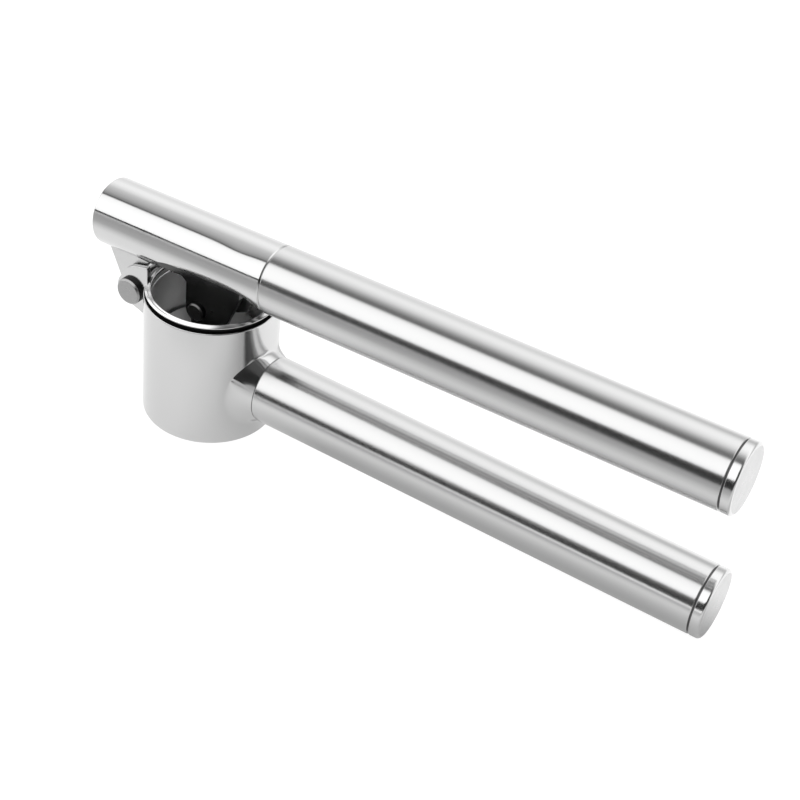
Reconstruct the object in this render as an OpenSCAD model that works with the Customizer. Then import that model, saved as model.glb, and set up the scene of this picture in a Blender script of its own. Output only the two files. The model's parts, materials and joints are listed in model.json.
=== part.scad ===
// Garlic press with two round tube handles, millimetres.
// Origin: centre of the cup holder's bottom face. +X runs along the handles, +Z up the cup.

/* [Cup] */
// Outer radius of the cup holder
cup_r = 18.75; // [18:0.25:20]
// Height from the cup's foot to the top of the insert's rim
cup_h = 39.4; // [38:0.2:42]
// Radius of the upper bore that takes the insert
cup_bore_r = 17.75; // [17.7:0.05:17.8]
// Radius of the lower bore, below the ledge that carries the insert
outlet_r = 17.0; // [16.8:0.1:17.2]

/* [Insert] */
// Inner radius of the garlic chamber
chamber_r = 16.7; // [16.5:0.1:16.8]
// Depth from the rim's top down to the sieve plate
chamber_depth = 17.7; // [17.5:0.1:18.5]
// Thickness of the sieve plate
sieve_t = 1.5; // [1:0.1:2]
// Radius of each hole in the sieve plate
sieve_hole_r = 0.85; // [0.6:0.05:1]
// Rings of holes round the middle hole
sieve_rings = 5; // [3:1:5]

/* [Handles] */
// Outer radius of both handle tubes and of the lever's head
tube_r = 9.5; // [9:0.25:10]
// Wall thickness of both handle tubes
tube_wall = 1.0; // [0.8:0.1:1.2]
// Height of the lower handle's axis above the foot
lower_z = 15.5; // [15:0.5:17]
// Distance from the cup's axis to the start of the lower tube
lower_start = 21.04; // [20.5:0.1:22]
// Distance from the cup's axis to the lower cap's flat face
lower_end = 155.7; // [140:1:180]
// Height of the lever's axis above the cup's rim, on the cup's axis
lever_z = 11.68; // [11:0.1:13]
// Rise of the lever towards its free end, degrees
lever_tilt = 1.55; // [1:0.05:2]
// Distance from the cup's axis to the seam between head and upper tube
lever_seam = 21.14; // [21:0.1:23]
// Distance from the cup's axis to the upper cap's flat face
lever_end = 154.8; // [140:1:180]
// Distance from the cup's axis back to the head's closed end
head_back = 34.4; // [33:0.2:36]

/* [Hinges] */
// Pivot pin, distance behind the cup's axis
pivot_x = -21.7; // [-22.5:0.1:-21.6]
// Pivot pin, depth below the rim
pivot_drop = 5.8; // [5:0.1:6.5]
// Radius of the pivot pin's shaft
pivot_r = 1.8; // [1.5:0.1:2]
// Plunger pin, distance from the cup's axis
ram_x = -0.8; // [-1:0.1:0.5]
// Plunger pin, depth below the rim
ram_drop = 4.6; // [4:0.1:5]
// Radius of the plunger pin's shaft
ram_pin_r = 1.5; // [1.2:0.1:1.6]
// Radius of the plunger's disc
ram_r = 15.5; // [15:0.1:15.7]

/* [Hidden] */
$fn = 96;
steel = [0.78, 0.78, 0.78];
polished = [0.86, 0.86, 0.86];
dark_steel = [0.62, 0.62, 0.62];

run_gap = 0.05;          // radial clearance of a running fit
rim_h = 0.6;             // height of the insert's rolled rim
rim_gap = 1.15;           // shadow gap under the rolled rim
holder_top = cup_h - rim_h - rim_gap;
sleeve_r = cup_bore_r - 0.1;
ledge_z = cup_h - chamber_depth - sieve_t;
pivot_z = cup_h - pivot_drop;
ram_z = cup_h - ram_drop;
ear_in = 6.6;            // from the middle plane to an ear's inner face
ear_out = 8.2;           // and to its outer face
cheek_in = 4.4;          // from the middle plane to a cheek's inner face
cheek_out = 6.0;         // and to its outer face
pin_head_t = 1.7;
spigot_r = tube_r - tube_wall - 0.05;
cap_groove = 0.6;        // width of the groove before each end cap
cap_t = 3.0;             // thickness of each end cap's disc
lower_cap_x = lower_end - cap_t;
upper_cap_x = lever_end - cap_t;
head_wall = 1.1;
ram_face_z = cup_h - chamber_depth + 0.5;
ram_disc_t = 2.0;
ram_shift = -0.6;        // the disc sits this far behind the cup's axis at rest

// Points on an arc or ellipse quarter, from angle a to angle b
function arc(cx, cz, rx, rz, a, b, n = 8) =
  [for (i = [0:n]) let (t = a + (b - a) * i / n) [cx + rx * cos(t), cz + rz * sin(t)]];

// An outline in the XZ plane, given thickness from y0 to y1
module plate(y0, y1, points) {
  translate([0, y1, 0])
    rotate([90, 0, 0])
      linear_extrude(y1 - y0) polygon(points);
}

// A solid cylinder along Y
module y_rod(x, z, r, y0, y1) {
  translate([x, y1, z]) rotate([90, 0, 0]) cylinder(r = r, h = y1 - y0);
}

// A solid cylinder along X
module x_rod(r, x0, x1) {
  translate([x0, 0, 0]) rotate([0, 90, 0]) cylinder(r = r, h = x1 - x0);
}

// A turned piece along X: each point is [x, radius]
module x_turned(points) {
  rotate([0, 90, 0]) rotate_extrude() polygon([for (p = points) [p[1], p[0]]]);
}

// Places the lever's own frame: X along its axis, its origin over the cup
module on_lever() {
  translate([0, 0, cup_h + lever_z]) rotate([0, -lever_tilt, 0]) children();
}

// ---- Cup holder, fixed ----

// Outline of an ear, seen from the side: round under the pin, rising to the rim
function ear_points() = concat(
  [[pivot_x + 5.6, cup_h - 12.5]],
  arc(pivot_x, pivot_z, 4.9, 4.9, -86, -206, 14),
  arc(pivot_x + 0.6, pivot_z + 5.6, 2.3, 2.2, 150, 104, 5),
  [[pivot_x + 5.6, cup_h + 3.5]]
);

module cup_barrel() {
  rotate_extrude() polygon(concat(
    [[outlet_r + 0.3, 0]],
    arc(cup_r - 1.2, 1.2, 1.2, 1.2, -90, 0),
    [[cup_r, holder_top - 0.3], [cup_r - 0.3, holder_top],
     [cup_bore_r, holder_top], [cup_bore_r, ledge_z],
     [outlet_r, ledge_z], [outlet_r, 0.3]]
  ));
}

module cup_holder() {
  color(steel) difference() {
    union() {
      cup_barrel();
      difference() {
        for (side = [-1, 1])
          plate(side * (ear_in + ear_out) / 2 - (ear_out - ear_in) / 2,
                side * (ear_in + ear_out) / 2 + (ear_out - ear_in) / 2, ear_points());
        translate([0, 0, -1]) cylinder(r = cup_r - 0.5, h = holder_top + 1);
        translate([0, 0, holder_top]) cylinder(r = cup_r + 0.15, h = 8);
      }
    }
    y_rod(pivot_x, pivot_z, pivot_r, -12, 12);
  }
}

module neck_stub() {
  neck_r = tube_r - 0.15;
  flare = [for (i = [0:8]) let (t = 90 * i / 8) [lower_start - 0.6 - 3.6 * sin(t), neck_r + 2.2 * (1 - cos(t))]];
  color(steel) translate([0, 0, lower_z]) difference() {
    union() {
      x_turned(concat([[10, 0], [lower_start, 0], [lower_start, neck_r]], flare, [[10, neck_r]]));
      x_rod(spigot_r, lower_start - 1, lower_start + 14);
    }
    translate([0, 0, -lower_z - 1]) cylinder(r = cup_r, h = cup_h + 2);
  }
}

// ---- Handles ----

module handle_tube(x0, x1) {
  bore_r = tube_r - tube_wall;
  edge = 0.25;
  x_turned([[x0, bore_r], [x1, bore_r], [x1, tube_r - edge], [x1 - edge, tube_r],
            [x0 + edge, tube_r], [x0, tube_r - edge]]);
}

module end_cap(x0, x1) {
  edge = 0.45;
  x_turned([[x0 - 9, 0], [x1, 0], [x1, tube_r - edge], [x1 - edge, tube_r],
            [x0 + 0.2, tube_r], [x0, tube_r - 0.2], [x0, tube_r - 0.7],
            [x0 - cap_groove, tube_r - 0.7], [x0 - cap_groove, spigot_r], [x0 - 9, spigot_r]]);
}

module lower_handle_tube() {
  color(steel) translate([0, 0, lower_z]) handle_tube(lower_start, lower_cap_x - cap_groove);
}

module lower_end_cap() {
  color(steel) translate([0, 0, lower_z]) end_cap(lower_cap_x, lower_end);
}

module upper_handle_tube() {
  color(steel) on_lever() handle_tube(lever_seam, upper_cap_x - cap_groove);
}

module upper_end_cap() {
  color(steel) on_lever() end_cap(upper_cap_x, lever_end);
}

// ---- Pivot, fixed to the ears ----

module pivot_pin() {
  color(dark_steel) translate([pivot_x, ear_out, pivot_z]) rotate([90, 0, 0]) rotate_extrude()
    polygon([[0, 0], [pivot_r, 0], [pivot_r, 2 * ear_out], [4.1, 2 * ear_out],
             [4.1, 2 * ear_out + pin_head_t - 0.35], [3.75, 2 * ear_out + pin_head_t],
             [0, 2 * ear_out + pin_head_t]]);
}

module pivot_cap() {
  color(dark_steel) translate([pivot_x, ear_out, pivot_z]) rotate([-90, 0, 0]) rotate_extrude()
    polygon([[0, 0], [4.1, 0], [4.1, pin_head_t - 0.35], [3.75, pin_head_t], [0, pin_head_t]]);
}

module pivot_washers() {
  color(polished) for (side = [-1, 1])
    difference() {
      y_rod(pivot_x, pivot_z, 3.1, side * 6.3 - 0.25, side * 6.3 + 0.25);
      y_rod(pivot_x, pivot_z, pivot_r + run_gap, -8, 8);
    }
}

// ---- Insert, loose in the holder ----

module insert_sleeve() {
  color(polished) rotate_extrude() polygon(concat(
    [[sleeve_r, ledge_z], [sleeve_r, cup_h - rim_h]],
    arc(cup_r - 0.4, cup_h - rim_h + 0.4, 0.4, 0.4, -90, 0, 4),
    arc(cup_r - 0.6, cup_h - 0.6, 0.6, 0.6, 0, 90, 5),
    arc(chamber_r + 0.9, cup_h - 0.9, 0.9, 0.9, 90, 180, 6),
    [[chamber_r, ledge_z]]
  ));
}

module sieve_plate() {
  pitch = 2.7;
  color(polished) difference() {
    translate([0, 0, ledge_z]) cylinder(r = chamber_r, h = sieve_t);
    for (ring = [0:sieve_rings])
      for (i = [0:max(0, 6 * ring - 1)])
        rotate([0, 0, i * 360 / max(1, 6 * ring)])
          translate([ring * pitch, 0, ledge_z - 1]) cylinder(r = sieve_hole_r, h = sieve_t + 2, $fn = 24);
  }
}

// ---- Lever ----

// Cut that opens the head's underside over the cup, in the lever's frame
function notch_points() = concat(
  arc(-6, -9.6, 11.2, 7.2, 180, 90, 10),
  arc(13, -9.6, 9.5, 7.2, 90, 0, 10),
  [[22.5, -12], [-17.2, -12]]
);

// Outline of a cheek: pivot boss, bridge over the rim, lug round the plunger pin
function cheek_points() = concat(
  [[-31.2, cup_h + 16.4], [-31.2, cup_h + 4.0], [pivot_x - 4.2, cup_h - 7.3], [pivot_x - 2.7, cup_h - 8.2]],
  arc(pivot_x, pivot_z, 3.15, 3.15, -115, 20, 12),
  [[pivot_x + 2.9, cup_h + 1.4], [-17.2, cup_h + 4.0], [-6.2, cup_h + 4.5], [-4.7, cup_h + 3.2]],
  arc(ram_x, ram_z, 3.9, 3.9, -180, -90, 8),
  [[5.0, cup_h - 8.1], [8.6, cup_h - 6.4], [10.1, cup_h - 2.65], [13.2, cup_h + 5.2], [13.6, cup_h + 17.2]]
);

module cheek(y0, y1) {
  difference() {
    plate(y0, y1, cheek_points());
    y_rod(pivot_x, pivot_z, pivot_r + run_gap, y0 - 1, y1 + 1);
    y_rod(ram_x, ram_z, ram_pin_r, y0 - 1, y1 + 1);
  }
}

module cheek_near() {
  color(steel) cheek(-cheek_out, -cheek_in);
}

module cheek_far() {
  color(steel) cheek(cheek_in, cheek_out);
}

module lever_head() {
  color(polished) difference() {
    on_lever() difference() {
      x_turned([[-head_back, tube_r - head_wall], [lever_seam, tube_r - head_wall],
                [lever_seam, tube_r - 0.25], [lever_seam - 0.25, tube_r],
                [0.4 - head_back, tube_r], [-head_back, tube_r - 0.4]]);
      plate(-12, 12, notch_points());
    }
    for (side = [-1, 1])
      plate(side * 5.2 - 0.8, side * 5.2 + 0.8,
            [[-31.2, cup_h - 2], [13.6, cup_h - 2], [13.6, cup_h + 11], [-31.2, cup_h + 11]]);
  }
}

module head_end_plug() {
  color(polished) on_lever() x_turned([[0.3 - head_back, 0], [0.3 - head_back, tube_r - head_wall],
                                       [2.8 - head_back, tube_r - head_wall], [2.8 - head_back, 0]]);
}

module lever_spigot() {
  tongue_r = tube_r - head_wall - 0.05;
  color(dark_steel) on_lever() difference() {
    x_rod(tongue_r, 15, lever_seam + 16);
    plate(-12, 12, [[14, -12], [lever_seam + 0.1, -12], [lever_seam + 0.1, -1.2], [14, -1.2]]);
  }
}

module pivot_bush() {
  color(dark_steel) difference() {
    y_rod(pivot_x, pivot_z, 2.6, -cheek_in, cheek_in);
    y_rod(pivot_x, pivot_z, pivot_r + run_gap, -8, 8);
  }
}

module plunger_pin() {
  color(dark_steel) translate([ram_x, cheek_out, ram_z]) rotate([90, 0, 0]) rotate_extrude()
    polygon([[0, 0], [ram_pin_r, 0], [ram_pin_r, 2 * cheek_out], [2.6, 2 * cheek_out],
             [2.6, 2 * cheek_out + 0.6], [2.1, 2 * cheek_out + 1.1], [0, 2 * cheek_out + 1.1]]);
}

module plunger_pin_cap() {
  color(dark_steel) translate([ram_x, cheek_out, ram_z]) rotate([-90, 0, 0]) rotate_extrude()
    polygon([[0, 0], [2.6, 0], [2.6, 0.6], [2.1, 1.1], [0, 1.1]]);
}

// ---- Plunger ----

module plunger_stem() {
  stem_w = 4.1;
  disc_top = ram_face_z + ram_disc_t;
  color(steel) difference() {
    union() {
      plate(-stem_w, stem_w, concat(
        arc(ram_x, ram_z, 3.4, 3.4, 0, 180, 16),
        [[ram_x - 3.4, disc_top], [ram_x + 3.4, disc_top]]
      ));
      translate([ram_x, 0, disc_top]) cylinder(r1 = 7.5, r2 = 4.9, h = 1.6);
    }
    y_rod(ram_x, ram_z, ram_pin_r + run_gap, -8, 8);
  }
}

module plunger_disc() {
  color(steel) translate([ram_shift, 0, ram_face_z]) rotate_extrude()
    polygon([[0, 0], [ram_r - 0.3, 0], [ram_r, 0.3], [ram_r, 1.1], [ram_r - 1.4, ram_disc_t], [0, ram_disc_t]]);
}

cup_holder();
neck_stub();
lower_handle_tube();
lower_end_cap();
pivot_pin();
pivot_cap();
pivot_washers();
insert_sleeve();
sieve_plate();
lever_head();
head_end_plug();
cheek_near();
cheek_far();
lever_spigot();
upper_handle_tube();
upper_end_cap();
pivot_bush();
plunger_pin();
plunger_pin_cap();
plunger_stem();
plunger_disc();
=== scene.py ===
import json
import math

import bpy
import numpy as np
from mathutils import Matrix, Vector


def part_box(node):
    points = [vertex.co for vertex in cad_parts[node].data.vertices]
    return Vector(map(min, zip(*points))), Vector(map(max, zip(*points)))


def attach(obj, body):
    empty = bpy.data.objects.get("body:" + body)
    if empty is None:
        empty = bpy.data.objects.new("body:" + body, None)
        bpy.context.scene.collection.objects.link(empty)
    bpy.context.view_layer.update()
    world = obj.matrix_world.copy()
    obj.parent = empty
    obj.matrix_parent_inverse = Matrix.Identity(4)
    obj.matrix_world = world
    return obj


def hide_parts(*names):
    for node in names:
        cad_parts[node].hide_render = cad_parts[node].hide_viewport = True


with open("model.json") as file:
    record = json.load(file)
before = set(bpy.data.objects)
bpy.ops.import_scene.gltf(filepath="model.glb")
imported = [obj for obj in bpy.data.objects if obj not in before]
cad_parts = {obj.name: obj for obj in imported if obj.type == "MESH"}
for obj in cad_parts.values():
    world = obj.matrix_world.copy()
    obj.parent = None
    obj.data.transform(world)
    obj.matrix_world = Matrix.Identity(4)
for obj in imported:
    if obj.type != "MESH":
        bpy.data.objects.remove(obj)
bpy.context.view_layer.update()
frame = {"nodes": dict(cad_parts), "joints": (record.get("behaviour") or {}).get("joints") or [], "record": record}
record = frame["record"]
MM = 0.001


# ---------------------------------------------------------------- places, from the frame, in millimetres

def node_box(name):
    """A node's lowest and highest corner."""
    low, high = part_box(name)
    return np.array(low) / MM, np.array(high) / MM


def joint_place(name):
    """A joint's position."""
    joint = next(j for j in frame["joints"] if j["name"] == name)
    return np.array(joint["pos_m"]) / MM


sleeve_low, sleeve_high = node_box("insert_sleeve")
lower_low, lower_high = node_box("lower_handle_tube")
disc_low, disc_high = node_box("plunger_disc")
PIVOT_HEAD_Y = node_box("pivot_pin")[0][1]      # the near heads' faces
RAM_HEAD_Y = node_box("plunger_pin")[0][1]
PIVOT_X, _, PIVOT_Z = joint_place("lever_hinge")
RAM_X, _, RAM_Z = joint_place("plunger_hinge")

CUP_R = float(sleeve_high[0])                 # cup's outside
RIM_Z = float(sleeve_high[2])                 # top of the insert's lip
LEDGE_Z = float(sleeve_low[2])                # bottom of the insert
HOLDER_TOP = RIM_Z - 1.9                      # top of the cup's own wall, under a gap
BORE_R = CUP_R - 1.0                          # cup's inside
OUTLET_R = 17.0                               # cup's inside below the insert
CHAMBER_R = 16.7                              # insert's inside
SLEEVE_R = 17.65                              # insert's outside
LIP_R = CUP_R - 0.35                          # outside of the insert's lip
LIP_T = 0.5                                   # thickness of the lip
LIP_CREASE_R = 17.7                           # where the lip's two beads meet

TUBE_R = float(lower_high[2] - lower_low[2]) / 2
LOWER_Z = float(lower_high[2] + lower_low[2]) / 2
LOWER_SEAM = float(lower_low[0])
LOWER_END = float(node_box("lower_end_cap")[1][0])
CAP = 2.7                                     # length of an end cap
GROOVE, GROOVE_DEPTH = 0.45, 0.7              # width and depth of the groove in front of it

LEVER_TILT = math.radians(1.55)               # slope of the lever's tube, which rises towards its end
LEVER_RISE = 11.68                            # height of the tube's axis over the rim, above the cup's axis
LEVER_SEAM = 21.14
LEVER_END = 154.8
HEAD_BACK = 34.4                              # from the cup's axis to the head's back end
HEAD_WALL = 1.1
HEAD_INNER_R = TUBE_R - HEAD_WALL
HEAD_EDGE = 0.4                               # radius of the edge round the head's back end
EAR_IN, EAR_OUT = 6.6, 8.2                    # ears and cheeks, from the middle plane
CHEEK_IN, CHEEK_OUT = 4.4, 6.0

HERE = Matrix.Identity(4)
ON_LOWER = Matrix.Translation((0, 0, LOWER_Z * MM))
ON_LEVER = Matrix.Translation((0, 0, (RIM_Z + LEVER_RISE) * MM)) @ Matrix.Rotation(-LEVER_TILT, 4, "Y")


# ---------------------------------------------------------------- mesh making, in millimetres

class Shell:
    """Gathers surfaces that carry a normal at each corner, and makes one mesh of them."""

    def __init__(self):
        self.index = {}
        self.points = []
        self.faces = []
        self.normals = []
        self.slots = []

    def vertex(self, point):
        key = (round(point[0], 4), round(point[1], 4), round(point[2], 4))
        if key not in self.index:
            self.index[key] = len(self.points)
            self.points.append((point[0] * MM, point[1] * MM, point[2] * MM))
        return self.index[key]

    def face(self, points, normals, slot=0):
        """One face, turned to agree with its normals. Corners that fall together are joined."""
        corners = []
        for point, normal in zip(points, normals):
            v = self.vertex(point)
            if not corners or (corners[-1][0] != v and corners[0][0] != v):
                corners.append((v, normal, point))
        if len(corners) < 3:
            return
        loop = np.array([c[2] for c in corners])
        turn = np.cross(loop, np.roll(loop, -1, axis=0)).sum(axis=0)
        if np.dot(turn, np.sum([c[1] for c in corners], axis=0)) < 0:
            corners.reverse()
        self.faces.append([c[0] for c in corners])
        self.normals.extend(tuple(c[1]) for c in corners)
        self.slots.append(slot)

    def grid(self, points, normals, slot=0):
        """Faces between the rows of two arrays of the same shape, (rows, columns, 3)."""
        rows, columns = points.shape[:2]
        for i in range(rows - 1):
            row_slot = slot[i] if isinstance(slot, (list, tuple)) else slot
            for j in range(columns - 1):
                self.face((points[i, j], points[i + 1, j], points[i + 1, j + 1], points[i, j + 1]),
                          (normals[i, j], normals[i + 1, j], normals[i + 1, j + 1], normals[i, j + 1]), row_slot)

    def piece(self, name, body, nodes, slot, materials, place=HERE):
        """Makes the object, which rides on a body and stands for CAD nodes."""
        mesh = bpy.data.meshes.new(name)
        mesh.from_pydata(self.points, [], self.faces)
        for material in materials:
            mesh.materials.append(material)
        mesh.polygons.foreach_set("material_index", self.slots)
        mesh.shade_smooth()
        mesh.update()
        mesh.normals_split_custom_set(self.normals)
        made = bpy.data.objects.new(name, mesh)
        bpy.context.scene.collection.objects.link(made)
        made.matrix_world = place
        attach(made, body)
        if nodes:
            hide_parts(*nodes)
        return made


def rounded(corners, closed=False, steps=6):
    """A counter-clockwise outline with its corners rounded: points and outward normals.

    A corner is (x, y, radius). One without a radius stays sharp."""
    points, normals = [], []
    count = len(corners)
    for i, (x, y, radius) in enumerate(corners):
        here = np.array((x, y), float)
        before = here - np.array(corners[i - 1][:2], float) if closed or i > 0 else None
        after = np.array(corners[(i + 1) % count][:2], float) - here if closed or i < count - 1 else None
        before = after if before is None else before
        after = before if after is None else after
        u, v = before / np.linalg.norm(before), after / np.linalg.norm(after)
        turn = math.atan2(u[0] * v[1] - u[1] * v[0], float(np.dot(u, v)))
        if radius <= 0 or abs(turn) < 1e-4:
            points.append(here)
            normals.append((u[1], -u[0]))
            if abs(turn) > 1e-4:
                points.append(here)
                normals.append((v[1], -v[0]))
            continue
        side = 1 if turn > 0 else -1
        centre = here - u * radius * math.tan(abs(turn) / 2) + side * radius * np.array((-u[1], u[0]))
        start = math.atan2(-side * u[0], side * u[1])
        for k in range(steps + 1):
            angle = start + turn * k / steps
            out = np.array((math.cos(angle), math.sin(angle)))
            points.append(centre + radius * out)
            normals.append(side * out)
    return np.array(points), np.array(normals)


def turned(shell, corners, axis="X", origin=(0, 0, 0), closed=False, segments=144, steps=6, slot_of=None, lean=None):
    """Turns an outline of (place along the axis, radius, corner radius) round an axis.

    slot_of gives a face's material from its place and radius, and lean may change the normals."""
    points, normals = rounded(corners, closed, steps)
    if closed:
        points, normals = np.vstack((points, points[:1])), np.vstack((normals, normals[:1]))
    angles = np.linspace(0, 2 * math.pi, segments + 1)
    cos, sin = np.cos(angles)[None], np.sin(angles)[None]
    order = {"X": (0, 1, 2), "Y": (2, 0, 1), "Z": (1, 2, 0)}[axis]

    def swept(pair):
        along = np.repeat(pair[:, :1], segments + 1, axis=1)
        parts = (along, pair[:, 1:] * cos, pair[:, 1:] * sin)
        return np.stack([parts[k] for k in order], axis=-1)

    slots = 0
    if slot_of:
        middles = (points[1:] + points[:-1]) / 2
        slots = [slot_of(*m) for m in middles]
    surface, facing = swept(points), swept(normals)
    if lean:
        facing = lean(surface, facing)
    shell.grid(surface + np.array(origin, float), facing, slots)


def plate(shell, corners, y0, y1, edge, steps=4):
    """A plate in the XZ plane with rounded edges: corners are (x, z, radius), counter-clockwise in X and Z."""
    outline, out = rounded(corners, True, 6)
    outline, out = np.vstack((outline, outline[:1])), np.vstack((out, out[:1]))
    rows, row_normals = [], []
    for side, y in ((-1, y0), (1, y1)):
        angles = [math.radians(90 - 90 * k / steps) for k in range(steps + 1)]
        for a in angles if side < 0 else reversed(angles):
            flat = outline - out * edge * (1 - math.cos(a))
            depth = y - side * edge * (1 - math.sin(a))
            rows.append(np.stack((flat[:, 0], np.full(len(flat), depth), flat[:, 1]), axis=-1))
            row_normals.append(np.stack((out[:, 0] * math.cos(a), np.full(len(flat), side * math.sin(a)),
                                         out[:, 1] * math.cos(a)), axis=-1))
    shell.grid(np.array(rows), np.array(row_normals))
    for row, side in ((rows[0], -1), (rows[-1], 1)):
        shell.face(row[:-1], [(0, side, 0)] * (len(row) - 1))


def arc_corners(x, z, radius, start, end, count=10):
    """Corners along an arc, each rounded enough to run smoothly into the next. Angles are in degrees."""
    angles = [math.radians(start) + math.radians(end - start) / count * k for k in range(count + 1)]
    return [(x + radius * math.cos(a), z + radius * math.sin(a), radius * 0.9) for a in angles]


def spread(start, end, count):
    """Places from start to end that crowd towards both."""
    return [start + (end - start) * (1 - math.cos(math.pi * k / count)) / 2 for k in range(count + 1)]


# ---------------------------------------------------------------- shader nodes

def grey(level):
    """A plain grey as a colour."""
    return (level, level, level, 1)


class Wiring:
    """A node tree. Each call adds what it names and returns the socket that gives the result."""

    def __init__(self, tree):
        self.nodes = tree.nodes
        self.links = tree.links

    def axes(self, space):
        """Coordinates in a space, as X, Y and Z."""
        coords = self.nodes.new("ShaderNodeTexCoord")
        split = self.nodes.new("ShaderNodeSeparateXYZ")
        self.links.new(coords.outputs[space], split.inputs["Vector"])
        return split.outputs["X"], split.outputs["Y"], split.outputs["Z"]

    def share(self, value, low, high, to_low=0.0, to_high=1.0):
        """A value's way from low to high, laid out from to_low to to_high and held at both ends."""
        node = self.nodes.new("ShaderNodeMapRange")
        for name, number in (("From Min", low), ("From Max", high), ("To Min", to_low), ("To Max", to_high)):
            node.inputs[name].default_value = number
        self.links.new(value, node.inputs["Value"])
        return node.outputs["Result"]

    def math(self, operation, first, second):
        """Two values joined by a mathematical operation."""
        node = self.nodes.new("ShaderNodeMath")
        node.operation = operation
        self.links.new(first, node.inputs[0])
        self.links.new(second, node.inputs[1])
        return node.outputs[0]

    def ramp(self, share, levels):
        """Greys along a share from 0 to 1: levels are (place, grey), in order."""
        node = self.nodes.new("ShaderNodeValToRGB")
        self.links.new(share, node.inputs["Fac"])
        elements = node.color_ramp.elements
        while len(elements) < len(levels):
            elements.new(0.5)
        for element, (place, level) in zip(elements, levels):
            element.position = place
            element.color = grey(level)
        return node.outputs["Color"]

    def mix(self, factor, first, second):
        """Goes from the first colour to the second, which may be a plain grey, with the factor."""
        node = self.nodes.new("ShaderNodeMix")
        node.data_type = "RGBA"
        ends = {s.name: s for s in node.inputs if s.type == "RGBA"}
        self.links.new(factor, node.inputs["Factor"])
        self.links.new(first, ends["A"])
        if isinstance(second, float):
            ends["B"].default_value = grey(second)
        else:
            self.links.new(second, ends["B"])
        return next(s for s in node.outputs if s.type == "RGBA")


# ---------------------------------------------------------------- camera

def look_from(azimuth, elevation, roll, distance, target, lens):
    """The scene's camera, turned about its own line of sight by roll, in degrees and metres."""
    a, e = math.radians(azimuth), math.radians(elevation)
    back = Vector((math.sin(a) * math.cos(e), -math.cos(a) * math.cos(e), math.sin(e)))
    camera = bpy.data.objects.new("camera", bpy.data.cameras.new("camera"))
    bpy.context.scene.collection.objects.link(camera)
    camera.data.sensor_width = 36
    camera.data.lens = lens
    camera.data.clip_start = 0.01
    camera.data.clip_end = 20
    turn = back.to_track_quat("Z", "Y").to_matrix().to_4x4() @ Matrix.Rotation(math.radians(roll), 4, "Z")
    camera.matrix_world = Matrix.Translation(Vector(target) + back * distance) @ turn
    bpy.context.scene.camera = camera


look_from(azimuth=28.567, elevation=37.584, roll=6.909, distance=0.44403, target=(0.061386, 0, 0.031862), lens=76.81)


# ---------------------------------------------------------------- light and floor

TENT_STRENGTH = 1.7
# the tent's brightness by a direction's angle round the X axis in degrees, from +Y (0) over the top (90)
TENT_FRONT = [(101, 0.1), (105, 1.55), (130, 1.65), (172, 1.6), (177, 1.4), (180, 1.0)]
TENT_END = [(-180, 1.0), (-20, 1.3), (0, 1.15), (12, 1.08), (24, 1.18), (36, 1.36), (46, 1.38), (56, 1.25),
            (66, 1.02), (76, 0.65), (86, 0.32), (96, 0.14)] + TENT_FRONT
TENT_MIDDLE = [(-180, 1.0), (-20, 1.3), (-6, 1.15), (4, 0.72), (12, 0.66), (20, 0.95), (30, 1.4), (42, 1.52),
               (55, 1.5), (66, 1.3), (76, 0.8), (86, 0.3), (96, 0.12)] + TENT_FRONT
# how far a direction points along X where the tent goes from one state to the next
TENT_TURNS = (-0.44, -0.2)                    # its bands turn by TENT_LAG
TENT_CHANGES = (-0.33, -0.2)                  # from TENT_END to TENT_MIDDLE
TENT_STOPS = (0.36, 0.5)                      # it ends over the front, where the room is dark
TENT_LAG = math.radians(8)
DARK_ANGLES = (math.radians(98), math.radians(104))     # the dark room fades in between these
DARK_ROOM = 0.06


def studio():
    """A light tent with a dark ceiling, as a world."""
    world = bpy.data.worlds.new("studio")
    bpy.context.scene.world = world
    world.use_nodes = True
    world.node_tree.nodes.clear()
    wiring = Wiring(world.node_tree)
    x, y, z = wiring.axes("Generated")
    angle = wiring.math("SUBTRACT", wiring.math("ARCTAN2", z, y), wiring.share(x, *TENT_TURNS, 0.0, TENT_LAG))
    round_x = wiring.share(angle, -math.pi, math.pi)
    end, middle = (wiring.ramp(round_x, [((degrees + 180) / 360, level / TENT_STRENGTH) for degrees, level in levels])
                   for levels in (TENT_END, TENT_MIDDLE))
    tent = wiring.mix(wiring.share(x, *TENT_CHANGES), end, middle)
    beyond = wiring.math("MULTIPLY", wiring.share(x, *TENT_STOPS), wiring.share(angle, *DARK_ANGLES))
    background = wiring.nodes.new("ShaderNodeBackground")
    background.inputs["Strength"].default_value = TENT_STRENGTH
    output = wiring.nodes.new("ShaderNodeOutputWorld")
    wiring.links.new(wiring.mix(beyond, tent, DARK_ROOM), background.inputs["Color"])
    wiring.links.new(background.outputs[0], output.inputs["Surface"])


def stage_mesh(name, points, faces, material, camera, others):
    """A stage piece that camera rays, or all other rays, may pass through."""
    mesh = bpy.data.meshes.new(name)
    mesh.from_pydata([tuple(c * MM for c in p) for p in points], [], faces)
    mesh.materials.append(material)
    piece = bpy.data.objects.new(name, mesh)
    bpy.context.scene.collection.objects.link(piece)
    piece.visible_camera = camera
    piece.visible_glossy = others
    piece.visible_diffuse = others
    piece.visible_transmission = others
    piece.visible_shadow = others
    return piece


def paper(name, albedo, glow):
    """Matt paper, partly lit by itself."""
    material = bpy.data.materials.new(name)
    material.use_nodes = True
    shader = material.node_tree.nodes["Principled BSDF"]
    shader.inputs["Base Color"].default_value = grey(albedo)
    shader.inputs["Roughness"].default_value = 1.0
    shader.inputs["Specular IOR Level"].default_value = 0.0
    shader.inputs["Emission Color"].default_value = (1, 1, 1, 1)
    shader.inputs["Emission Strength"].default_value = glow
    return material


BANDS_REACH = 0.4
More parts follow.
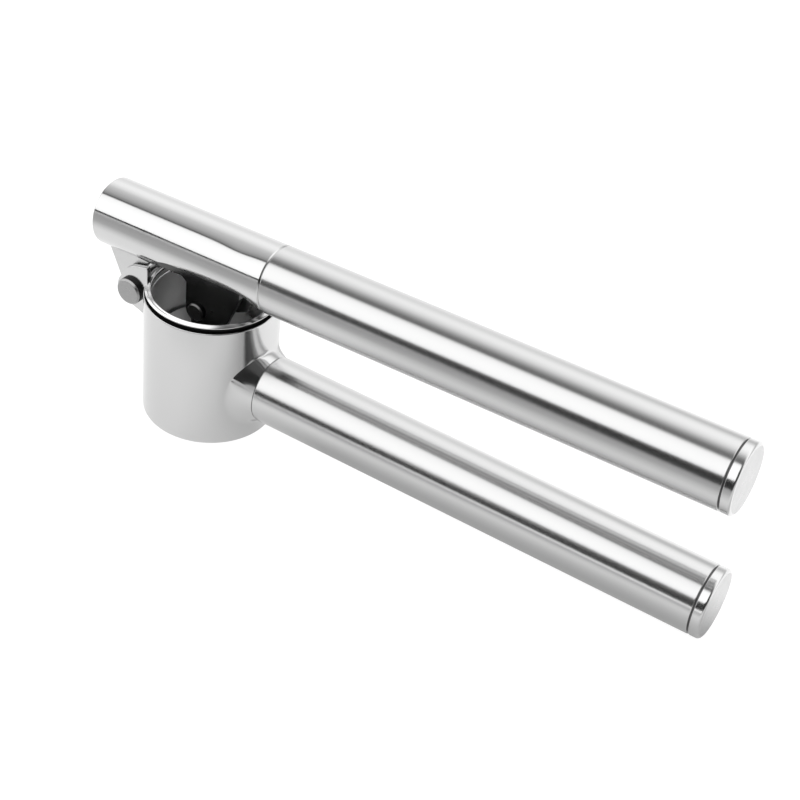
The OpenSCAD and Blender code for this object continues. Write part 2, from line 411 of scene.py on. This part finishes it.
# the painted light and shade on the floor: place along Y in metres and brightness, beside the cup and beside the
# handles
CUP_BANDS = [(-0.4, 0.12), (-0.25, 0.16), (-0.135, 0.2), (-0.09, 0.5), (-0.055, 0.75), (0.4, 0.8)]
HANDLE_BANDS = [(-0.4, 0.12), (-0.25, 0.16), (-0.135, 0.22), (-0.08, 0.48), (-0.048, 0.66), (-0.03, 0.56),
                (-0.012, 0.34), (-0.002, 0.26), (0.006, 0.6), (0.014, 0.95), (0.4, 1.0)]


def shade_bounce(material):
    """Painted light and shade that lie on the floor in long bands beside the handles."""
    wiring = Wiring(material.node_tree)
    x, y, _ = wiring.axes("Object")
    across = wiring.share(y, -BANDS_REACH, BANDS_REACH)
    cup, handles = (wiring.ramp(across, [((place + BANDS_REACH) / (2 * BANDS_REACH), level) for place, level in bands])
                    for bands in (CUP_BANDS, HANDLE_BANDS))
    bands = wiring.mix(wiring.share(x, 0.0, 0.04), cup, handles)
    wiring.links.new(bands, wiring.nodes["Principled BSDF"].inputs["Emission Color"])


def floor():
    """A pale floor and a backdrop. The floor is tipped, so that the cup's foot and the lower cap rest on it."""
    foot = CUP_R - 1.0
    tip = math.atan2(LOWER_Z - TUBE_R, LOWER_END - foot)
    clearance = 0.02
    half = 1500.0
    corners = ((-half, -half), (half, -half), (half, half), (-half, half))
    square = [(x, y, (x - foot) * math.tan(tip) - clearance) for x, y in corners]
    white = paper("floor_paper", albedo=0.3, glow=0.86)
    stage_mesh("floor", square, [(0, 1, 2, 3)], white, camera=True, others=False)
    bounce = paper("bounce_paper", albedo=0.35, glow=1.0)
    shade_bounce(bounce)
    stage_mesh("floor_bounce", square, [(0, 1, 2, 3)], bounce, camera=False, others=True)
    far = 4000.0
    sides = 48
    circle = [(far * math.cos(a), far * math.sin(a)) for a in np.linspace(0, 2 * math.pi, sides + 1)[:-1]]
    walls = [(x, y, -far) for x, y in circle] + [(x, y, far) for x, y in circle]
    faces = [(i, (i + 1) % sides, sides + (i + 1) % sides, sides + i) for i in range(sides)]
    faces += [tuple(range(sides, 2 * sides)), tuple(range(sides - 1, -1, -1))]
    glowing = paper("backdrop_paper", albedo=0.0, glow=1.0)
    stage_mesh("backdrop", walls, faces, glowing, camera=True, others=False)


def dark_gap():
    """The dark gap between the tent and the floor in front, seen only in the steel: x, y, top and bottom."""
    stations = [(260, -95, 98, 36), (100, -190, 128, 36), (-25, -290, 168, 42), (-245, -660, 302, 48),
                (-900, -2000, 800, 44), (-4000, -4000, 1530, 30)]
    points = [(x, y, top) for x, y, top, _ in stations] + [(x, y, bottom) for x, y, _, bottom in stations]
    count = len(stations)
    faces = [(i, i + 1, count + i + 1, count + i) for i in range(count - 1)]
    black = paper("black_paper", albedo=0.02, glow=0.0)
    card = stage_mesh("dark_gap", points, faces, black, camera=False, others=False)
    card.visible_glossy = True


studio()
floor()
dark_gap()
bpy.context.scene.view_settings.view_transform = "Standard"


# ---------------------------------------------------------------- materials

SCRATCH_DEPTH = 0.00001


def steel(name, colour, roughness, streak, wear=0.2, scratch=0.0, anisotropy=0.0):
    """Steel with fine scratches: streak stretches their pattern along X, Y and Z, in marks per metre.

    wear is how much the roughness varies with them, and anisotropy spreads the gloss as brushing round X does."""
    material = bpy.data.materials.new(name)
    material.use_nodes = True
    wiring = Wiring(material.node_tree)
    nodes, links = wiring.nodes, wiring.links
    shader = nodes["Principled BSDF"]
    shader.inputs["Metallic"].default_value = 1.0
    shader.inputs["Base Color"].default_value = grey(colour)
    coords = nodes.new("ShaderNodeTexCoord")
    mapping = nodes.new("ShaderNodeMapping")
    mapping.inputs["Scale"].default_value = streak
    noise = nodes.new("ShaderNodeTexNoise")
    noise.inputs["Scale"].default_value = 1.0
    noise.inputs["Detail"].default_value = 3.0
    links.new(coords.outputs["Object"], mapping.inputs["Vector"])
    links.new(mapping.outputs["Vector"], noise.inputs["Vector"])
    grain = wiring.share(noise.outputs["Fac"], 0.0, 1.0, roughness * (1 - wear), roughness * (1 + wear))
    links.new(grain, shader.inputs["Roughness"])
    if scratch:
        bump = nodes.new("ShaderNodeBump")
        bump.inputs["Strength"].default_value = scratch
        bump.inputs["Distance"].default_value = SCRATCH_DEPTH
        links.new(noise.outputs["Fac"], bump.inputs["Height"])
        links.new(bump.outputs["Normal"], shader.inputs["Normal"])
    if anisotropy:
        tangent = nodes.new("ShaderNodeTangent")
        tangent.direction_type = "RADIAL"
        tangent.axis = "X"
        links.new(tangent.outputs["Tangent"], shader.inputs["Tangent"])
        shader.inputs["Anisotropic"].default_value = anisotropy
        shader.inputs["Anisotropic Rotation"].default_value = 0.25
    return material


def cheek_with_painted_shade():
    """Cheek steel with painted shade: darker where it runs over and into the cup."""
    unshaded_grey, dark = 0.6, 0.1
    starts, full = -0.0185, -0.0165           # along X, in metres
    material = steel("cheek_painted_shade", unshaded_grey, 0.24, (500, 60, 500), wear=0.3)
    wiring = Wiring(material.node_tree)
    x, _, _ = wiring.axes("Object")
    colour = wiring.ramp(wiring.share(x, starts, full), [(0, unshaded_grey), (1, dark)])
    wiring.links.new(colour, wiring.nodes["Principled BSDF"].inputs["Base Color"])
    return material


# painted shade: the plunger's pin is dark steel, for the shade inside the head
RAM_PIN_SHADE = steel("ram_pin_painted_shade", 0.13, 0.3, (700, 700, 700), wear=0.3)
BRUSHED = steel("brushed_tube", 0.6, 0.23, (6000, 80, 80), wear=0.1, anisotropy=0.6)
POLISHED = steel("polished_head", 0.62, 0.15, (150, 150, 150), wear=0.3)
SATIN = steel("satin_holder", 0.6, 0.15, (500, 500, 60), wear=0.3, scratch=0.1)
# painted shade: dark steel for the head's inside, the plunger's disc and stem and the parts in the cup
CHAMBER_SHADE = steel("chamber_steel", 0.25, 0.25, (100, 100, 900))
# painted light: the insert's inner wall is much lighter than the rest of the steel
INNER_PAINTED_LIGHT = steel("inner_wall_painted_light", 0.95, 0.45, (100, 100, 900))
LIP = steel("lip_steel", 0.72, 0.2, (200, 200, 200))
TURNED = steel("pin_steel", 0.34, 0.3, (700, 700, 700), wear=0.3)
FACED = steel("turned_cap", 0.64, 0.17, (1500, 150, 150), wear=0.25)
FACE = steel("cap_face", 0.53, 0.3, (300, 300, 300), wear=0.3)
# painted shade: near-black steel in the caps' grooves
GROOVE_SHADE = steel("groove_painted_shade", 0.14, 0.4, (500, 500, 500))
SHADE = steel("shadow_gap", 0.03, 0.5, (200, 200, 200))
CHEEK_PAINTED_SHADE = cheek_with_painted_shade()
FINISH = {"brushed_tube": BRUSHED, "polished_steel": CHAMBER_SHADE, "satin_steel": SATIN,
          "chamber_steel": CHAMBER_SHADE, "pin_steel": TURNED}

for part in record["subparts"]:
    mesh = frame["nodes"][part["node"]].data
    mesh.materials.clear()
    mesh.materials.append(FINISH[part["material_slot"]])


# ---------------------------------------------------------------- handles

def handle(name, body, node, seam, end, place, early=0.0):
    """A brushed tube, closed at both ends, with small turned edges.

    early turns the normals of its upper front by a few degrees, for a tube that isn't quite round there."""
    stop = end - CAP - GROOVE

    def turn_front(points, normals):
        angle = np.degrees(np.arctan2(normals[..., 2], normals[..., 1])) % 360
        upper, lower = np.exp(-((angle - 121) / 6) ** 2), np.exp(-((angle - 151) / 5) ** 2)
        turn = np.radians(early * (upper - 0.55 * lower))
        y, z = normals[..., 1], normals[..., 2]
        turned_y, turned_z = y * np.cos(turn) - z * np.sin(turn), y * np.sin(turn) + z * np.cos(turn)
        return np.stack((normals[..., 0], turned_y, turned_z), axis=-1)

    shell = Shell()
    turned(shell, [(stop, 0, 0), (stop, TUBE_R, 0.25), (seam + 1.5, TUBE_R, 0), (seam, TUBE_R, 0.5), (seam, 0, 0)],
           segments=240, lean=turn_front)
    shell.piece(name, body, [node], "brushed_tube", [BRUSHED], place)


def cap(name, body, node, end, place):
    """An end cap behind a narrow groove, its face edge rounded."""
    edge = 0.9
    in_tube = 0.6
    inner = end - CAP
    neck_r = TUBE_R - GROOVE_DEPTH
    foot = inner - GROOVE - in_tube

    def slot_of(x, r):
        # the groove and the part inside the tube get the painted shade of slot 1
        if x < inner - 0.02:
            return 1
        return 2 if r < TUBE_R - edge else 0

    shell = Shell()
    turned(shell, [(end, 0, 0), (end, TUBE_R, edge), (inner, TUBE_R, 0.2), (inner, neck_r, 0.1), (foot, neck_r, 0),
                   (foot, 0, 0)], slot_of=slot_of)
    shell.piece(name, body, [node], "brushed_tube", [FACED, GROOVE_SHADE, FACE], place)


handle("lower_tube", "base", "lower_handle_tube", LOWER_SEAM, LOWER_END, ON_LOWER, early=2.8)
cap("lower_cap", "base", "lower_end_cap", LOWER_END, ON_LOWER)
handle("upper_tube", "lever", "upper_handle_tube", LEVER_SEAM, LEVER_END, ON_LEVER)
cap("upper_cap", "lever", "upper_end_cap", LEVER_END, ON_LEVER)


# ---------------------------------------------------------------- head, in the lever's frame

NOTCH_LOW, NOTCH_TOP = -9.6, -2.4             # heights where the notch's two arcs start and where they end
NOTCH_RISE = 7.2
NOTCH_BACK, BACK_RUN = -6, 11.2               # x where the back arc ends, and its length
NOTCH_FRONT, FRONT_RUN = 13, 9.5              # x where the front arc starts, and its length
NO_NOTCH = -99.0
HEAD_OPENS = NOTCH_BACK - BACK_RUN * math.sqrt(1 - ((TUBE_R + NOTCH_LOW) / NOTCH_RISE) ** 2)
FRONT_BEVEL = 0.35
HEAD_COLUMNS = np.linspace(-1, 1, 301)        # from one side of the opening over the top to the other
# where the skin is, as an angle from +Y over the top, and the angle it faces
SKIN_AT = [0, 100, 106, 111, 116, 121, 124, 127, 150, 153.4, 154.0, 165, 175, 185, 360]
SKIN_FACES = [0, 100, 106, 108, 110, 113.5, 122, 125, 146.5, 150.2, 159, 168, 176, 185, 360]


def notch_height(x):
    """How high the head's underside is cut away at x."""
    if x <= NOTCH_BACK - BACK_RUN:
        return NO_NOTCH
    if x < NOTCH_BACK:
        return NOTCH_LOW + NOTCH_RISE * math.sqrt(max(0.0, 1 - ((x - NOTCH_BACK) / BACK_RUN) ** 2))
    if x < NOTCH_FRONT:
        return NOTCH_TOP
    return NOTCH_LOW + NOTCH_RISE * math.sqrt(max(0.0, 1 - ((x - NOTCH_FRONT) / FRONT_RUN) ** 2))


def head_facing(x, angle):
    """Which way the head's skin faces, in radians, where the angle round it is given in degrees.

    Its front is very slightly flattened, as a drawn and polished tube is, with a shallow dent near the seam."""
    dent = 3 * math.exp(-((x - 12) / 5) ** 2) * np.exp(-((angle - 122) / 10) ** 2)
    return np.radians(np.interp(angle - dent, SKIN_AT, SKIN_FACES))


def ring(x, radius, angles):
    """Places round the X axis, or normals, whose parts along the axis and away from it are x and radius."""
    return np.stack((np.full(len(angles), x), radius * np.cos(angles), radius * np.sin(angles)), axis=-1)


def angles_over(height, radius):
    """Angles from a height on one side of the head, over its top, to the same height on the other."""
    low = math.asin(min(1.0, max(-1.0, height / radius)))
    return math.pi / 2 + HEAD_COLUMNS * (math.pi / 2 - low)


def head_stations():
    """Places along the head, closer together where the notch rises fast."""
    closed_part = spread(HEAD_EDGE - HEAD_BACK, HEAD_OPENS, 12)[:-1]
    back_arc = [HEAD_OPENS + (NOTCH_BACK - HEAD_OPENS) * (k / 24) ** 2 for k in range(25)]
    level = list(np.linspace(NOTCH_BACK, NOTCH_FRONT, 20))[1:]
    front_arc = list(np.linspace(NOTCH_FRONT, LEVER_SEAM - FRONT_BEVEL, 16))[1:]
    return closed_part + back_arc + level + front_arc


def head_skin(shell, stations, radius, outside):
    """The head's outside or inside."""
    points, normals = [], []
    for x in stations:
        angles = angles_over(notch_height(x), radius)
        points.append(ring(x, radius, angles))
        normals.append(ring(0, 1, head_facing(x, np.degrees(angles))) if outside else ring(0, -1, angles))
    shell.grid(np.array(points), np.array(normals), 0 if outside else 1)
    return np.array(points)


def cut_edges(shell, stations, outer, inner):
    """The wall's cut edge along both sides of the opening."""
    last = len(stations) - 1
    first = next(i for i, x in enumerate(stations) if x >= HEAD_OPENS - 1e-6)
    for side in (0, -1):
        points, normals = [], []
        for i in range(first, last + 1):
            ahead, behind = stations[min(i + 1, last)], stations[max(i - 1, first)]
            slope = (notch_height(ahead) - notch_height(behind)) / (ahead - behind)
            normal = np.array((slope, 0, -1.0)) / math.hypot(slope, 1)
            points.append([outer[i, side], inner[i, side]])
            normals.append([normal, normal])
        shell.grid(np.array(points), np.array(normals), 1)


def back_end(shell):
    """The rounded edge round the back end, and the wall inside it."""
    angles = math.pi / 2 + HEAD_COLUMNS * math.pi
    rows, normals = [], []
    for k in range(6):
        a = math.radians(90 * k / 5)
        x, radius = -HEAD_BACK + HEAD_EDGE - HEAD_EDGE * math.sin(a), TUBE_R - HEAD_EDGE + HEAD_EDGE * math.cos(a)
        rows.append(ring(x, radius, angles))
        normals.append(ring(-math.sin(a), math.cos(a), angles))
    rows.append(ring(-HEAD_BACK, HEAD_INNER_R, angles))
    normals.append(ring(-1, 0, angles))
    shell.grid(np.array(rows), np.array(normals))
    inside = [ring(x, HEAD_INNER_R, angles) for x in (-HEAD_BACK, HEAD_EDGE - HEAD_BACK)]
    shell.grid(np.array(inside), np.array([ring(0, -1, angles)] * 2), 1)


def front_end(shell, x):
    """The bevelled end at the seam, from x on, closed on both sides of the opening."""
    outer, inner = angles_over(notch_height(x), TUBE_R), angles_over(notch_height(x), HEAD_INNER_R)
    rows = [ring(x, TUBE_R, outer), ring(LEVER_SEAM, TUBE_R - FRONT_BEVEL, outer),
            ring(LEVER_SEAM, HEAD_INNER_R, inner), ring(x, HEAD_INNER_R, inner)]
    for i, normals in enumerate((ring(0.7, 0.7, outer), ring(1, 0, outer), ring(0, -1, inner))):
        shell.grid(np.array(rows[i:i + 2]), np.array([normals, normals]))
    for side in (0, -1):
        shell.face([row[side] for row in rows], [(0, 0, -1)] * 4, 1)


def head():
    """The head: a tube open below over the cup, and a plug in its back end."""
    shell = Shell()
    stations = head_stations()
    outer = head_skin(shell, stations, TUBE_R, True)
    inner = head_skin(shell, stations, HEAD_INNER_R, False)
    cut_edges(shell, stations, outer, inner)
    back_end(shell)
    front_end(shell, stations[-1])
    # the head's inside, its cut edges and the sides of its front end carry the painted shade of slot 1
    shell.piece("head", "lever", ["lever_head"], "polished_steel", [POLISHED, CHAMBER_SHADE], ON_LEVER)

    shell = Shell()
    front, back = 2.8 - HEAD_BACK, 0.3 - HEAD_BACK
    turned(shell, [(front, 0, 0), (front, HEAD_INNER_R, 0.1), (back, HEAD_INNER_R, 0.4), (back, 0, 0)])
    shell.piece("head_plug", "lever", ["head_end_plug"], "polished_steel", [POLISHED], ON_LEVER)


head()


# ---------------------------------------------------------------- cheeks, with the bridge over the rim and the pin lugs

def cheeks():
    """The two plates under the head: each goes from its pivot lug over the rim to the plunger's lug in the cup."""
    top = RIM_Z
    outline = [(-31.2, top + 16.4, 0.5), (-31.2, top + 4.0, 0.5), (PIVOT_X - 4.2, top - 7.3, 1.2)]
    outline += arc_corners(PIVOT_X, PIVOT_Z, 3.15, -115, 20)
    outline += [(PIVOT_X + 2.9, top + 1.4, 0.6), (-17.2, top + 4.0, 1.0), (-6.2, top + 4.5, 1.0),
                (-4.7, top + 3.2, 0.8)]
    outline += arc_corners(RAM_X, RAM_Z, 3.9, -180, -90, 8)
    outline += [(5.0, top - 8.1, 1.5), (8.6, top - 6.4, 1.5), (10.1, top - 2.65, 1.5), (13.2, top + 5.2, 1.0),
                (13.6, top + 17.2, 0.5)]
    # the near cheek carries painted shade that darkens along X into the cup; the far cheek is plain satin steel
    for name, node, y0, y1, material in (("cheek_plate_near", "cheek_near", -CHEEK_OUT, -CHEEK_IN, CHEEK_PAINTED_SHADE),
                                         ("cheek_plate_far", "cheek_far", CHEEK_IN, CHEEK_OUT, SATIN)):
        shell = Shell()
        plate(shell, outline, y0, y1, 0.25)
        shell.piece(name, "lever", [node], "satin_steel", [material])


cheeks()


# ---------------------------------------------------------------- cup holder, neck and insert

def holder():
    """The cup's barrel, and the ears that hold the pivot pin."""
    shell = Shell()
    profile = [(0, OUTLET_R + 0.3, 0.05), (0.3, OUTLET_R, 0.05), (LEDGE_Z, OUTLET_R, 0.1), (LEDGE_Z, BORE_R, 0.1),
               (HOLDER_TOP, BORE_R, 0.1), (HOLDER_TOP, CUP_R, 0.3), (0, CUP_R, 1.2)]
    turned(shell, profile[::-1], axis="Z", closed=True, segments=192,
           slot_of=lambda z, r: 1 if z > HOLDER_TOP - 0.1 and r < CUP_R - 0.2 else 0)
    top = RIM_Z
    ear = [(PIVOT_X + 5.6, top - 12.5, 0.5), (PIVOT_X + 5.6, top + 3.5, 0.5)]
    ear += [(PIVOT_X + 0.05, top + 2.03, 1.6), (PIVOT_X - 1.5, top + 0.85, 1.6)]
    ear += arc_corners(PIVOT_X, PIVOT_Z, 4.9, 150, 274, 12)
    for side in (-1, 1):
        low, high = sorted((side * EAR_IN, side * EAR_OUT))
        plate(shell, ear, low, high, 0.25)
    shell.piece("holder", "base", ["cup_holder"], "satin_steel", [SATIN, SHADE])


# where the flare is, as an angle from +Y over the top, and the angle it faces beside the cup: a flat, and a
# small ridge below it
NECK_AT = [0, 125, 153, 154.5, 156, 157.5, 160.5, 185, 360]
NECK_FACES = [0, 125, 130, 156, 153, 143, 160, 185, 360]
NECK_ROWS, NECK_STEPS = 240, 14


def neck_line(angle):
    """A line of the flare at an angle round the tube: points from the tube's end to the cup, and normals."""
    radius = TUBE_R - 0.15
    c, s = math.cos(angle), math.sin(angle)
    # the ball that touches the tube's side at the seam and the cup's side
    p, q = s * s, 2 * (CUP_R - radius * c * c)
    rest = CUP_R ** 2 - (radius * c) ** 2 - LOWER_SEAM ** 2
    ball = (-q + math.sqrt(q * q - 4 * p * rest)) / (2 * p) if p > 1e-6 else -rest / q
    centre = np.array((LOWER_SEAM, (radius + ball) * c, (radius + ball) * s))
    start = np.array((LOWER_SEAM, radius * c, radius * s))
    on_cup = centre * np.array((1, 1, 0)) * CUP_R / (CUP_R + ball) + np.array((0, 0, centre[2]))
    u, v = (start - centre) / ball, (on_cup - centre) / ball
    bend = centre + ball * (u + v) / (1 + float(np.dot(u, v)))
    degrees = math.degrees(angle)
    steep = 0.4 + 0.56 * math.exp(-((degrees - 133) / 30) ** 8)
    bend = bend + (on_cup - bend) * steep
    turn = math.radians(float(np.interp(degrees, NECK_AT, NECK_FACES)) - degrees)
    line = [(LOWER_SEAM, 0, 0), start]
    normals = [(1, 0, 0), (1, 0, 0)]
    for k in range(NECK_STEPS + 1):
        t = k / NECK_STEPS
        place = (1 - t) ** 2 * start + 2 * t * (1 - t) * bend + t * t * on_cup
        along = (1 - t) * (bend - start) + t * (on_cup - bend)
        away = centre - place
        away = away - along * np.dot(away, along) / np.dot(along, along)
        away = away / np.linalg.norm(away)
        lean = turn * t
        line.append(place)
        normals.append((away[0], away[1] * math.cos(lean) - away[2] * math.sin(lean),
                        away[1] * math.sin(lean) + away[2] * math.cos(lean)))
    line += [on_cup * np.array((0.95, 0.95, 1)), (14.5, 0, 0)]
    normals += [(0, c, s), (-1, 0, 0)]
    return line, normals


def neck():
    """The neck between the cup and the lower tube: a steep flare that runs into the cup all the way round."""
    lines = [neck_line(angle) for angle in np.linspace(0, 2 * math.pi, NECK_ROWS + 1)]
    shell = Shell()
    shell.grid(np.array([line for line, _ in lines], float), np.array([normals for _, normals in lines], float))
    shell.piece("neck", "base", ["neck_stub"], "satin_steel", [SATIN], ON_LOWER)


def insert_facing(points, normals):
    """Turns the insert's normals at its lip, which is rolled into two beads, and at its mouth, which flares."""
    radius = np.hypot(points[..., 0], points[..., 1])
    outward = np.stack((points[..., 0] / radius, points[..., 1] / radius, np.zeros(radius.shape)), axis=-1)
    angle = np.degrees(np.arctan2(points[..., 1], points[..., 0])) % 360
    depth = RIM_Z - points[..., 2]
    up = np.array((0, 0, 1.0))
    pivot_side = np.clip((angle - 110) / 30, 0, 1) * np.clip((272 - angle) / 20, 0, 1)

    # the lip's top faces outwards, in front and on its inner bead, and straight up in the crease between them
    across = (radius - CHAMBER_R) / (LIP_R - CHAMBER_R)
    front = np.clip((angle - 212) / 16, 0, 1) * np.clip((352 - angle) / 12, 0, 1)
    beads = np.maximum(front, np.clip((0.4 - across) / 0.15, 0, 1))
    crease = pivot_side * np.exp(-((radius - LIP_CREASE_R) / 0.12) ** 2)
    tilt = np.radians((36 + 14 * across) * beads * (1 - 0.95 * crease))[..., None]
    lip = (depth < 0.3) & (radius > CHAMBER_R + 0.2)
    normals = np.where(lip[..., None], np.sin(tilt) * outward + np.cos(tilt) * up, normals)

    # the mouth turns from facing inwards to facing up and out, on the pivot's side
    turn = np.radians(133 * pivot_side * np.interp(depth, [0.45, 0.9, 1.9, 2.8], [0.4, 1, 1, 0]))[..., None]
    mouth = (depth > 0.44) & (depth < 3) & (radius < CHAMBER_R + 0.05)
    return np.where(mouth[..., None], -np.cos(turn) * outward + np.sin(turn) * up, normals)


def insert():
    """The loose insert: its lip lies over the cup's rim, and it carries the sieve."""
    under = RIM_Z - LIP_T
    profile = [(LEDGE_Z, SLEEVE_R, 0.1), (under, SLEEVE_R, 0.1), (under, LIP_R, 0.06), (RIM_Z, LIP_R, 0.4),
               (RIM_Z, LIP_CREASE_R + 0.2, 0), (RIM_Z, LIP_CREASE_R, 0), (RIM_Z, LIP_CREASE_R - 0.22, 0),
               (RIM_Z, CHAMBER_R, 0.45), (RIM_Z - 0.9, CHAMBER_R, 0), (RIM_Z - 1.9, CHAMBER_R, 0),
               (RIM_Z - 2.35, CHAMBER_R, 0), (RIM_Z - 2.8, CHAMBER_R, 0), (LEDGE_Z, CHAMBER_R, 0.1)]

    def slot_of(z, r):
        # slot 1, the bore, has painted light; slot 2, under the lip, has painted shade
        if z < RIM_Z - 0.8 and r < SLEEVE_R - 0.3:
            return 1
        return 2 if z < under + 0.05 and r < LIP_R - 0.1 else 0

    shell = Shell()
    turned(shell, profile[::-1], axis="Z", closed=True, segments=192, steps=9, slot_of=slot_of, lean=insert_facing)
    shell.piece("insert", "insert", ["insert_sleeve"], "polished_steel", [LIP, INNER_PAINTED_LIGHT, SHADE])


holder()
neck()
insert()


# ---------------------------------------------------------------- pins and plunger

def pin_head(shell, x, z, y0, y1, radius, chamfer):
    """A pin's head: a flat face with a chamfer, its side running back to y0."""
    side = 1 if y1 > y0 else -1
    corners = [(y1, 0, 0), (y1, radius - chamfer, 0.12), (y1 - side * chamfer, radius, 0.12), (y0, radius, 0),
               (y0, 0, 0)]
    if side < 0:
        corners = corners[::-1]
    turned(shell, corners, axis="Y", origin=(x, 0, z), segments=96,
           slot_of=lambda y, r: 1 if abs(y - y0) < abs(y1 - y0) - chamfer - 0.1 and r > radius - 0.5 else 0)


def pin(body, x, z, seat, head_y, shaft, radius, chamfer, material, near, far):
    """A pin with its near head, and its far head as a piece of its own; near and far are (piece, node)."""
    shell = Shell()
    pin_head(shell, x, z, -seat, head_y, radius, chamfer)
    turned(shell, [(seat, 0, 0), (seat, shaft, 0.1), (0.1 - seat, shaft, 0), (0.1 - seat, 0, 0)], axis="Y",
           origin=(x, 0, z), segments=48)
    shell.piece(near[0], body, [near[1]], "pin_steel", [material, SHADE])
    shell = Shell()
    pin_head(shell, x, z, seat, -head_y, radius, chamfer)
    shell.piece(far[0], body, [far[1]], "pin_steel", [material, SHADE])


def plunger():
    """The disc that presses the garlic, and the stem that hangs it on its pin."""
    face, top = float(disc_low[2]), float(disc_high[2])
    centre = float(disc_low[0] + disc_high[0]) / 2
    radius = float(disc_high[0] - disc_low[0]) / 2
    shell = Shell()
    profile = [(face, 0, 0), (face, radius, 0.3), (face + 1.1, radius, 0.3), (top, radius - 1.4, 0.5), (top, 0, 0)]
    turned(shell, profile[::-1], axis="Z", origin=(centre, 0, 0), segments=160)
    # the disc and the stem carry painted shade
    shell.piece("ram_disc", "plunger", ["plunger_disc"], "chamber_steel", [CHAMBER_SHADE])
    shell = Shell()
    stem_half = 3.4
    stem = [(RAM_X - stem_half, top - 0.2, 0.2), (RAM_X + stem_half, top - 0.2, 0.2)]
    stem += arc_corners(RAM_X, RAM_Z, stem_half, 0, 180, 12)
    plate(shell, stem, -4.1, 4.1, 0.3)
    boss = [(top, 0, 0), (top, 7.5, 0.3), (top + 1.6, 4.9, 0.5), (top + 1.6, 0, 0)]
    turned(shell, boss[::-1], axis="Z", origin=(RAM_X, 0, 0), segments=96)
    shell.piece("ram_stem", "plunger", ["plunger_stem"], "chamber_steel", [CHAMBER_SHADE])


pin("base", PIVOT_X, PIVOT_Z, seat=EAR_OUT, head_y=PIVOT_HEAD_Y, shaft=1.8, radius=3.9, chamfer=0.5,
    material=TURNED, near=("pivot_head", "pivot_pin"), far=("pivot_cap_far", "pivot_cap"))
pin("lever", RAM_X, RAM_Z, seat=CHEEK_OUT, head_y=RAM_HEAD_Y, shaft=1.5, radius=2.6, chamfer=0.4,
    material=RAM_PIN_SHADE, near=("ram_head", "plunger_pin"), far=("ram_cap_far", "plunger_pin_cap"))
plunger()
